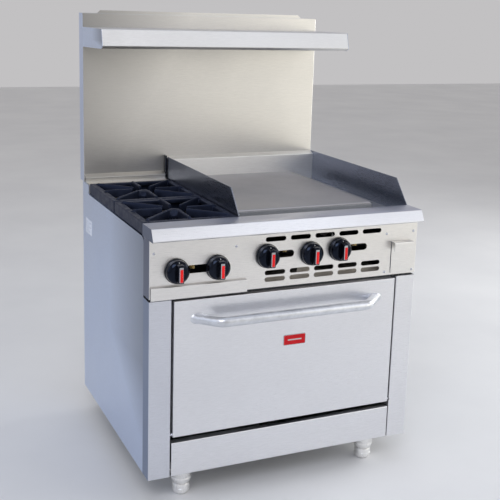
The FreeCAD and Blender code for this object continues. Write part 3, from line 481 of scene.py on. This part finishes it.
def back_spots():
    """Down the edges and the middle of the back panel, down the riser's edges, and along the riser's foot."""
    back_low, back_high = low_corner("back_panel"), high_corner("back_panel")
    riser_low, riser_high = low_corner("riser_back"), high_corner("riser_back")
    for x in (back_low.x + 0.012, 0.0, back_high.x - 0.012):
        for z in (0.012, 0.25, 0.45, 0.66):
            yield facing_back(x, back_high.y, back_low.z + z)
    for x in (riser_low.x + 0.014, riser_high.x - 0.014):
        for z in (0.05, 0.19, 0.33, 0.47, 0.57):
            yield facing_back(x, riser_high.y, riser_low.z + z)
    for x in (-0.28, -0.1, 0.1, 0.28):
        yield facing_back(x, riser_high.y, riser_low.z + 0.035)


panel_front = low_corner("control_panel").y
screws("panel_screw_heads", [facing(x * MM, panel_front, (z - DATUM) * MM) for x, z in PANEL_SPOTS],
       ("panel_screws",))
screws("back_screws", back_spots())


# ---------------------------------------------------------------- handle
HALF_GRIP = 0.2495              # from the middle of the handle to where it turns back
END_SLOPE = 62.1 / 61.0         # how far an end runs sideways, for each metre that it runs back
TURN_RADIUS = 0.034
WELD_FLARE = (1.09, 1.03, 1.0)  # growth of the first rings, where the tube meets the door
WELD_STEPS = (0.05, 0.12)       # where the second and third rings lie on the tube's first run
TUBE_SEGMENTS = 40


def rounded_path(corners, radius, steps=14):
    """Points along a path in the XY plane, with its corners rounded."""
    points = [corners[0]]
    for before, here, after in zip(corners, corners[1:], corners[2:]):
        into, out = (here - before).normalized(), (after - here).normalized()
        turn = into.angle(out)
        reach = radius * math.tan(turn / 2)
        centre = here + (out - into).normalized() * radius / math.cos(turn / 2)
        start = here - into * reach - centre
        axis = into.cross(out)
        for k in range(steps + 1):
            points.append(centre + Matrix.Rotation(turn * k / steps, 3, axis) @ start)
    points.append(corners[-1])
    return points


def door_handle():
    """Polished tube with its bent ends welded to the door."""
    low, high = low_corner("door_handle"), high_corner("door_handle")
    centre = middle("door_handle")
    radius = (high.z - low.z) / 2
    front, door = low.y + radius, low_corner("door_outer").y
    foot = HALF_GRIP + (door - front) * END_SLOPE
    turns = ((-foot, door), (-HALF_GRIP, front), (HALF_GRIP, front), (foot, door))
    line = rounded_path([Vector((centre.x + x, y, centre.z)) for x, y in turns], TURN_RADIUS)
    line = (line[:1] + [line[0].lerp(line[1], step) for step in WELD_STEPS] + line[1:-1]
            + [line[-1].lerp(line[-2], step) for step in reversed(WELD_STEPS)] + line[-1:])
    last = len(line) - 1
    bm = bmesh.new()
    rings = []
    for k, point in enumerate(line):
        ahead = (line[min(k + 1, last)] - line[max(k - 1, 0)]).normalized()
        side = ahead.cross(UP).normalized()
        from_end = min(k, last - k)
        at_weld = from_end < len(WELD_FLARE)
        grow = WELD_FLARE[from_end] if at_weld else 1.0
        ring = []
        for step in range(TUBE_SEGMENTS):
            angle = 2 * math.pi * step / TUBE_SEGMENTS
            spot = point + (side * math.cos(angle) + UP * math.sin(angle)) * radius * grow
            if at_weld:     # rings near the door are cut parallel to it
                spot += ahead * ((point.y - spot.y) / ahead.y)
            ring.append(bm.verts.new(spot))
        rings.append(ring)
    skin(bm, rings, capped=True)
    piece("handle_tube", bm, "handle_steel", "handle_steel", "door", ("door_handle",), 60)


door_handle()


# ---------------------------------------------------------------- badge and label
# Inset from the badge's edge, corner radius, height.
BADGE_RIM = [(0.0, 4.0, 0.0), (0.0, 4.0, 1.2), (0.4, 3.7, 1.75), (1.1, 3.2, 2.0), (1.8, 2.6, 1.8),
             (2.2, 2.2, 1.2)]
BADGE_FIELD = [(2.1, 2.2, 0.9), (2.1, 2.2, 1.4), (2.8, 1.8, 1.6), (6.0, 1.2, 1.72), (12.0, 1.0, 1.78)]
BADGE_BAR = [(24.0, 2.0, 0.8, 1.5), (24.0, 2.0, 0.8, 1.9), (23.7, 1.7, 0.6, 2.0)]


def badge():
    """Blank red badge in a bright rim, with one plain pale bar."""
    low, high = low_corner("door_badge"), high_corner("door_badge")
    centre = (low + high) / 2
    place = facing(centre.x, high.y, centre.z)
    half_x, half_z = (high.x - low.x) / 2 / MM, (high.z - low.z) / 2 / MM

    def within(profile):
        return [(half_x - inset, half_z - inset, radius, height) for inset, radius, height in profile]

    block("badge_rim", within(BADGE_RIM), place, "trim_grey", "badge_red", "door", ("door_badge",))
    block("badge_field", within(BADGE_FIELD), place, "badge_red", "badge_red", "door")
    block("badge_bar", BADGE_BAR, place, "mark_white", "badge_red", "door")


badge()

LABEL = [(43.0, 26.5, 3.0, -0.3), (43.0, 26.5, 3.0, 0.3), (42.6, 26.1, 2.8, 0.4)]
LABEL_FROM_BACK, LABEL_HEIGHT = 0.0815, 0.7190
RULES = ((-36, 30), (-36, 10), (-36, 34), (-36, -4), (-36, 22))     # each rule's two ends
FIRST_RULE, RULE_PITCH, RULE_HALF = 16, 8, 0.9


def side_label():
    """Blank rating plate stuck on the left side, near its rear edge."""
    turn = Matrix.Rotation(math.radians(-90), 4, "Z") @ Matrix.Rotation(math.radians(90), 4, "X")
    spot = (low_corner("side_panel_left").x, high_corner("back_panel").y - LABEL_FROM_BACK, LABEL_HEIGHT)
    place = Matrix.Translation(spot) @ turn
    block("rating_label", LABEL, place, "label_paper", "stainless_side", "cabinet")
    bm = bmesh.new()
    for row, (start, end) in enumerate(RULES):
        shift = Matrix.Translation(((start + end) / 2 * MM, (FIRST_RULE - row * RULE_PITCH) * MM, 0))
        half = (end - start) / 2
        stack(bm, [(half, RULE_HALF, 0.3, 0.3), (half, RULE_HALF, 0.3, 0.46)], place @ shift)
    piece("rating_label_rules", bm, "stainless_side", "stainless_side", "cabinet")


side_label()

# ---------------------------------------------------------------- seal
SEAL_GAP_FRONT, SEAL_GAP_BACK, SEAL_GAP_SIDE = 0.003, 0.0006, 0.0003
SEAL_BELOW, SEAL_ABOVE = 0.021, 0.004       # how far it runs down from the trim's top and past the guard's


def guard_seal():
    """Black strip that closes the gap between the end of the rear trim, the splash guard and the riser."""
    rail, guard = high_corner("rear_rail"), low_corner("splash_guard_left")
    guard_end, riser = high_corner("splash_guard_left"), low_corner("riser_front")
    front, back = guard_end.y + SEAL_GAP_FRONT, riser.y - SEAL_GAP_BACK
    bottom = rail.z - SEAL_BELOW
    half_x, half_y = ((guard.x - rail.x) / 2 - SEAL_GAP_SIDE) / MM, (back - front) / 2 / MM
    height = (guard_end.z + SEAL_ABOVE - bottom) / MM
    layers = [(half_x, half_y, 2.0, 0.0), (half_x, half_y, 2.0, height - 1.5),
              (half_x - 0.6, half_y - 0.8, 1.6, height)]
    place = Matrix.Translation(((rail.x + guard.x) / 2, (front + back) / 2, bottom))
    block("guard_seal", layers, place, "knob_black", "knob_black", "cabinet", angle=35)


guard_seal()

# ---------------------------------------------------------------- burners
HEAD = [(0, 0.0), (30.0, 0.0), (32.2, 0.3), (33.0, 1.2), (33.0, 7.0), (33.0, 7.4), (33.0, 10.6),
        (33.0, 11.0), (33.0, 18.5), (32.5, 20.3), (31.0, 22.6), (28.4, 25.4), (24.4, 28.6), (19.5, 31.4),
        (14.0, 33.2), (10.0, 33.8), (9.0, 33.3), (7.5, 33.3), (6.6, 33.9), (0, 34.0)]
PORT_LOW, PORT_HIGH, PORT_DEEP = 7.2, 10.8, 0.86
PORT_PITCH, PORT_STEPS = 6, 2       # a port is two steps wide in every six


def flame_ports(point, step):
    """Pushes in the flame ports round the burner's edge."""
    if PORT_LOW < point.z < PORT_HIGH and step % PORT_PITCH < PORT_STEPS:
        return Vector((point.x * PORT_DEEP, point.y * PORT_DEEP, point.z))
    return point


bm = bmesh.new()
for grate in CAST:
    heart = middle(grate)
    lathe(bm, HEAD, Matrix.Translation((heart.x, heart.y, low_corner("burner_heads").z)), 144, flame_ports)
piece("burner_caps", bm, "cast_iron", "cast_iron", "cabinet", ("burner_heads",), 35)


# ---------------------------------------------------------------- legs
LEG = [(0, 48.2), (26.6, 48.0), (28.0, 48.8), (29.6, 52.0), (32.2, 60.2), (33.0, 62.4), (33.0, 66.0),
       (32.5, 66.8), (32.5, 67.6), (33.0, 68.4), (33.0, 91.0), (33.4, 92.8), (35.0, 93.8), (40.8, 94.2),
       (42.0, 95.0), (42.0, 97.9), (0, 97.9)]
FOOT = [(0, 9.0), (18.6, 9.0), (20.2, 9.5), (26.0, 16.6), (27.2, 18.8), (27.5, 21.0), (27.5, 30.0),
        (27.0, 30.6), (27.0, 31.6), (27.5, 32.2), (27.5, 44.0), (26.8, 45.6), (25.4, 46.0), (23.6, 46.2),
        (23.6, 47.6), (0, 47.6)]
barrels = bmesh.new()
for foot in [name for name in nodes if name.startswith("foot_")]:
    spot = middle(foot)
    place = Matrix.Translation((spot.x, spot.y, -DATUM * MM))
    lathe(barrels, LEG, place, 72)
    sole = bmesh.new()
    lathe(sole, FOOT, place, 72)
    piece(foot + "_turned", sole, "leg_metal", "leg_metal", foot, (foot,), 35)
piece("leg_barrels", barrels, "leg_metal", "leg_metal", "cabinet", ("legs",), 35)


# ---------------------------------------------------------------- gas inlet
INLET_RADIUS, INLET_HEIGHT = 13.335, 765    # the height is in the drawing's frame
ROOT, CREST, PITCH, TURNS = 12.3, 13.3, 1.8, 9
THREAD = [(0, 0.2), (11.5, 0.0), (12.2, 0.4)]
for turn in range(TURNS):
    THREAD += [(ROOT, PITCH / 2 + turn * PITCH), (CREST, PITCH + turn * PITCH)]
THREAD += [(ROOT, 17.2), (ROOT, 17.6)]
tip = high_corner("gas_pipe")
bm = bmesh.new()
lathe(bm, THREAD, facing(tip.x - INLET_RADIUS * MM, tip.y, (INLET_HEIGHT - DATUM) * MM), 48)
piece("inlet_thread", bm, "pipe_black", "pipe_black", "cabinet", angle=20)


# ---------------------------------------------------------------- floor, light, camera
FLOOR_REACH = 14.0
WORLD_TINT, WORLD_STRENGTH = (1.0, 0.985, 1.0, 1.0), 0.54
# Name, place, target, width and height, power, colour.
LIGHTS = (
    ("key", (2.6, -3.4, 3.2), (0, 0, 0.7), (2.4, 2.4), 16.0, (0.82, 0.88, 1.0)),
    ("low", (3.3, -3.1, 1.15), (0.2, 0, 0.8), (2.9, 2.1), 27.0, (1.0, 0.98, 0.86)),
    ("high_left", (-1.8, -3.2, 3.6), (0, 0, 0.7), (2.0, 2.0), 56.0, (0.84, 0.88, 1.0)),
    ("top", (0.2, 0.2, 3.9), (0, 0, 0.8), (3.0, 2.4), 15.0, (0.55, 0.72, 1.0)),
    ("left", (-4.2, -0.6, 1.9), (0, 0, 0.7), (2.6, 2.6), 25.0, (0.56, 0.72, 1.0)),
    ("right", (4.2, 0.2, 1.8), (0, 0, 0.8), (2.4, 2.4), 86.0, (0.97, 0.99, 1.0)),
)
CAMERA_PLACE = (-1.23784, -2.79472, 1.49338)
CAMERA_YAW, CAMERA_PITCH, CAMERA_ROLL = 24.262, -11.782, 1.654      # degrees, from the fit to the photograph
CAMERA_LENS, CAMERA_SENSOR, CAMERA_SHIFT = 65.867, 36.0, -0.10


def make_floor():
    mesh = bpy.data.meshes.new("floor")
    corners = [(x * FLOOR_REACH, y * FLOOR_REACH, 0) for x, y in ((-1, -1), (1, -1), (1, 1), (-1, 1))]
    mesh.from_pydata(corners, [], [(0, 1, 2, 3)])
    floor = bpy.data.objects.new("floor", mesh)
    bpy.context.scene.collection.objects.link(floor)
    s = Shader("floor", Roughness=0.6)
    broad = s.noise(1.2, 5.0)
    dark, light = colour(0.70, 0.70, 0.705), colour(0.76, 0.76, 0.76)
    s.put("Base Color", s.blend(s.spread(broad, 0.35, 0.7), dark, light))
    mesh.materials.append(s.material)


def make_world():
    world = bpy.data.worlds.new("studio")
    world.use_nodes = True
    background = world.node_tree.nodes["Background"]
    background.inputs["Color"].default_value = WORLD_TINT
    background.inputs["Strength"].default_value = WORLD_STRENGTH
    bpy.context.scene.world = world


def area_light(name, place, target, size, power, tint):
    data = bpy.data.lights.new(name, "AREA")
    data.shape = "RECTANGLE"
    data.size, data.size_y = size
    data.energy = power
    data.color = tint
    lamp = bpy.data.objects.new(name, data)
    bpy.context.scene.collection.objects.link(lamp)
    lamp.location = place
    lamp.rotation_mode = "QUATERNION"
    lamp.rotation_quaternion = (Vector(target) - Vector(place)).to_track_quat("-Z", "Y")


def make_camera():
    yaw, pitch, roll = (math.radians(angle) for angle in (CAMERA_YAW, CAMERA_PITCH, CAMERA_ROLL))
    forward = Vector((math.sin(yaw) * math.cos(pitch), math.cos(yaw) * math.cos(pitch), math.sin(pitch)))
    level = Vector((math.cos(yaw), -math.sin(yaw), 0))
    upright = level.cross(forward)
    right = level * math.cos(roll) + upright * math.sin(roll)
    up = upright * math.cos(roll) - level * math.sin(roll)
    data = bpy.data.cameras.new("camera")
    data.sensor_width = CAMERA_SENSOR
    data.lens = CAMERA_LENS
    data.shift_y = CAMERA_SHIFT
    camera = bpy.data.objects.new("camera", data)
    bpy.context.scene.collection.objects.link(camera)
    turn = Matrix((right, up, -forward)).transposed().to_4x4()
    camera.matrix_world = Matrix.Translation(CAMERA_PLACE) @ turn
    bpy.context.scene.camera = camera


make_floor()
make_world()
for light in LIGHTS:
    area_light(*light)
bpy.context.scene.view_settings.view_transform = "Standard"
make_camera()
